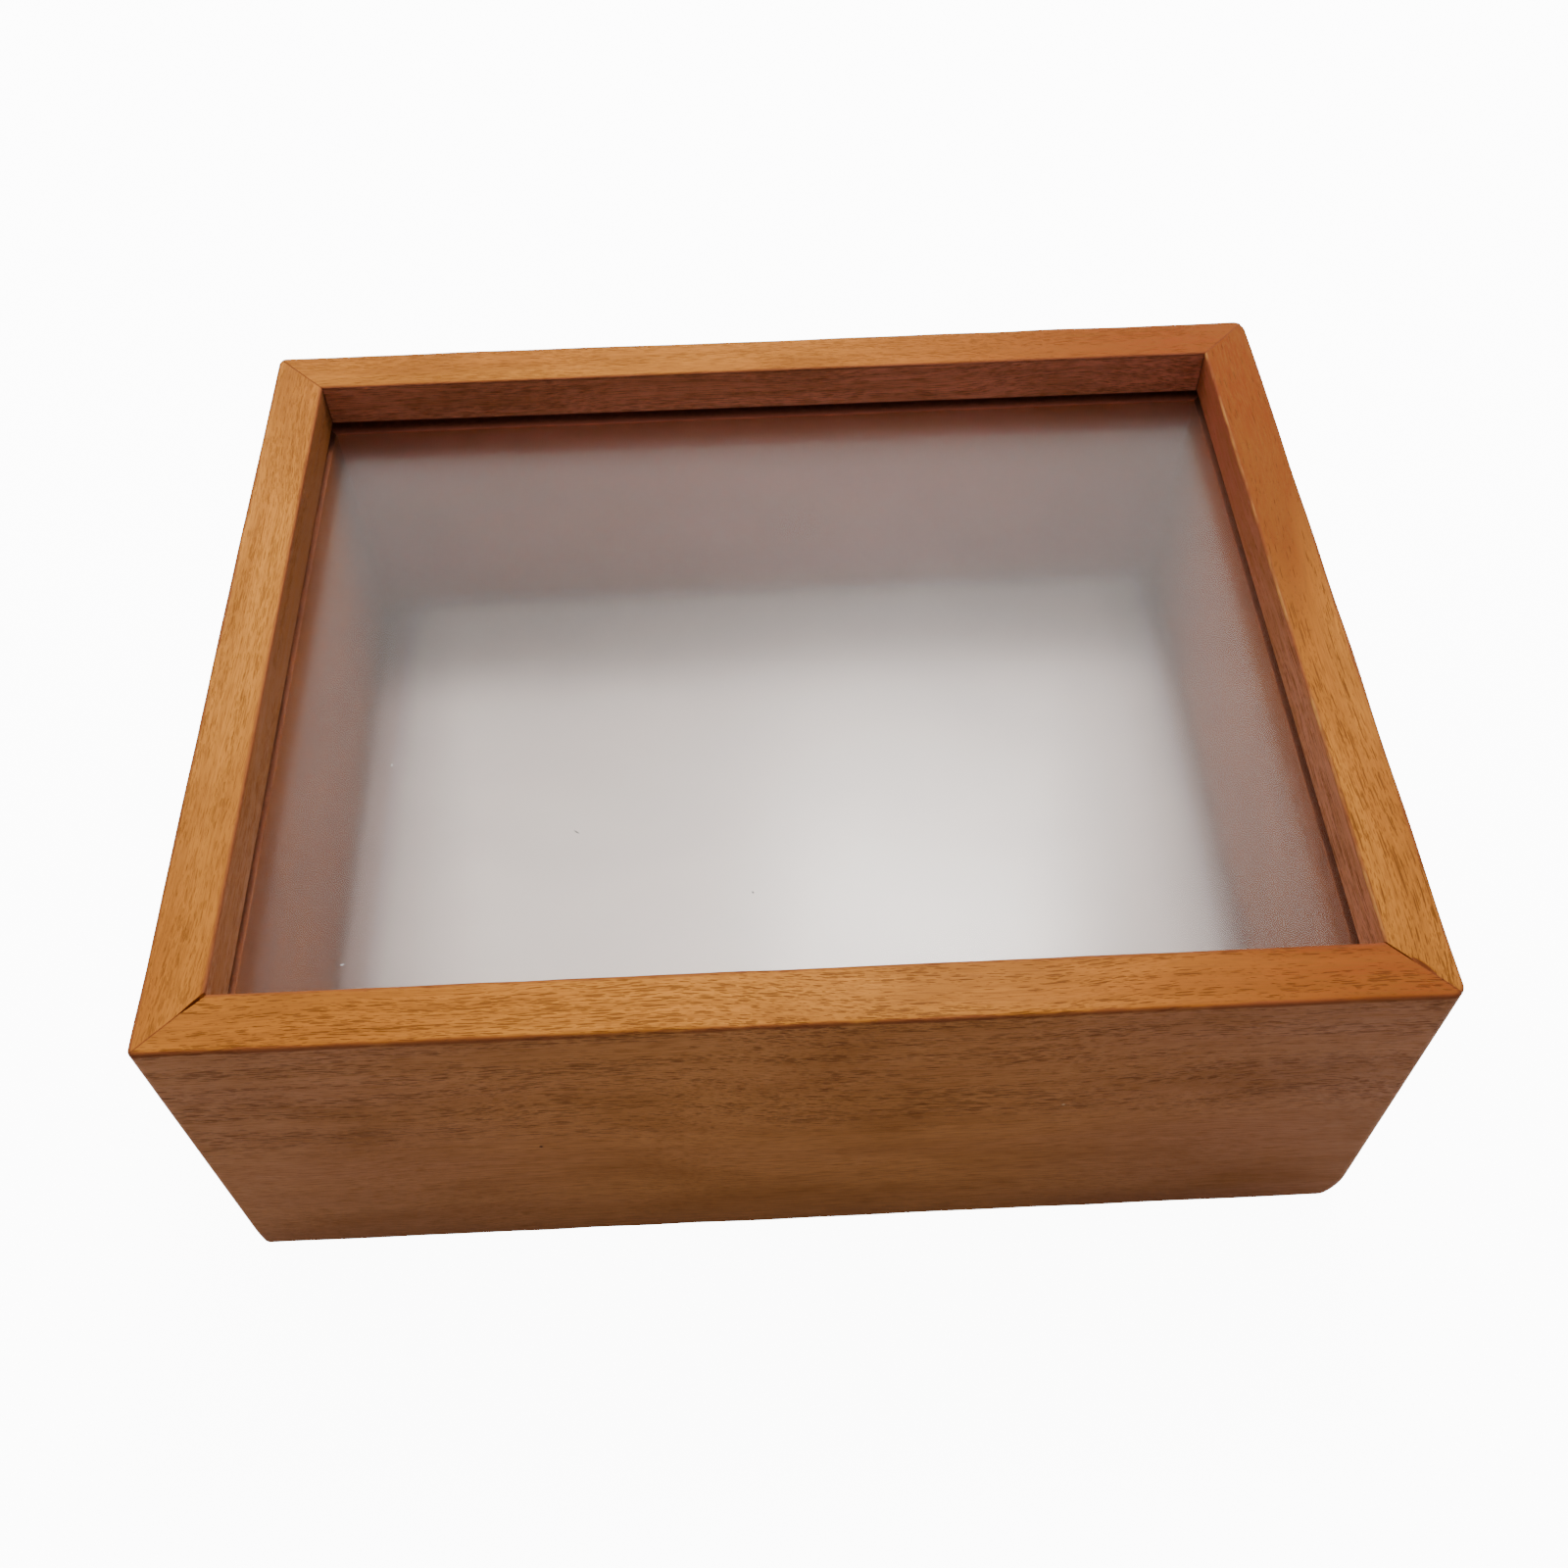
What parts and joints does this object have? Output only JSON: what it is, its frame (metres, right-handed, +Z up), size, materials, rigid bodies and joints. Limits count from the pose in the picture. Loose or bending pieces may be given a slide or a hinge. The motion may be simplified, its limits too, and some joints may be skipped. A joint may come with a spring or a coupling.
{
  "type": "shadow box",
  "caption": "Deep wooden shadow box with mitred corners, a recessed hazy pane, a padded white floor, and a lift-out back kept by turn buttons, with hangers for either way up.",
  "frame": {"origin": "on the surface the box lies on, under the centre of its outline, with the box on its back, face up", "axes": "+X along the long side to the right, +Y towards the back rail, which is the top rail when the box hangs, and +Z up, out of the face"},
  "size_m": [0.254, 0.2032, 0.098],
  "materials": {
    "stained_wood": "orange-brown stain under a thin satin coat, open pores",
    "acrylic": "clear, polished",
    "film": "milky, hazy, faintly satin",
    "foam": "matt white, fine closed cells",
    "hardboard": "raw brown hardboard",
    "brass": "brushed brass plate",
    "steel": "zinc plated",
    "rubber": "matt black"
  },
  "bodies": {
    "case": {"front_rail": "stained_wood", "right_rail": "stained_wood", "back_rail": "stained_wood", "left_rail": "stained_wood", "acrylic_pane": "acrylic", "protective_film_outer": "film", "protective_film_inner": "film", "bumper_front_left": "rubber", "bumper_front_right": "rubber", "bumper_back_right": "rubber", "bumper_back_left": "rubber", "v_nail_front_left": "steel", "v_nail_front_right": "steel", "v_nail_back_right": "steel", "v_nail_back_left": "steel", "turn_button_screw_front_left": "brass", "turn_button_screw_front_right": "brass", "turn_button_screw_back_left": "brass", "turn_button_screw_back_right": "brass", "sawtooth_hanger_long": "steel", "sawtooth_hanger_short": "steel", "hanger_nail_long_1": "steel", "hanger_nail_long_2": "steel", "hanger_nail_short_1": "steel", "hanger_nail_short_2": "steel"},
    "back": {"back_panel": "hardboard", "foam_board": "foam"},
    "turn_button_front_left": {"turn_button_front_left": "brass"},
    "turn_button_front_right": {"turn_button_front_right": "brass"},
    "turn_button_back_left": {"turn_button_back_left": "brass"},
    "turn_button_back_right": {"turn_button_back_right": "brass"}
  },
  "joints": [
    {"name": "back_lift", "type": "slide", "parent": "case", "child": "back", "axis": [0, 0, 1], "range_m": [-0.11, 0]},
    {"name": "swing_front_left", "type": "hinge", "parent": "case", "child": "turn_button_front_left", "pos_m": [-0.075, -0.0971, 0.0022], "axis": [0, 0, 1], "range_deg": [0, 90]},
    {"name": "swing_front_right", "type": "hinge", "parent": "case", "child": "turn_button_front_right", "pos_m": [0.075, -0.0971, 0.0022], "axis": [0, 0, 1], "range_deg": [0, 90]},
    {"name": "swing_back_left", "type": "hinge", "parent": "case", "child": "turn_button_back_left", "pos_m": [-0.075, 0.0971, 0.0022], "axis": [0, 0, 1], "range_deg": [0, 90]},
    {"name": "swing_back_right", "type": "hinge", "parent": "case", "child": "turn_button_back_right", "pos_m": [0.075, 0.0971, 0.0022], "axis": [0, 0, 1], "range_deg": [0, 90]}
  ]
}
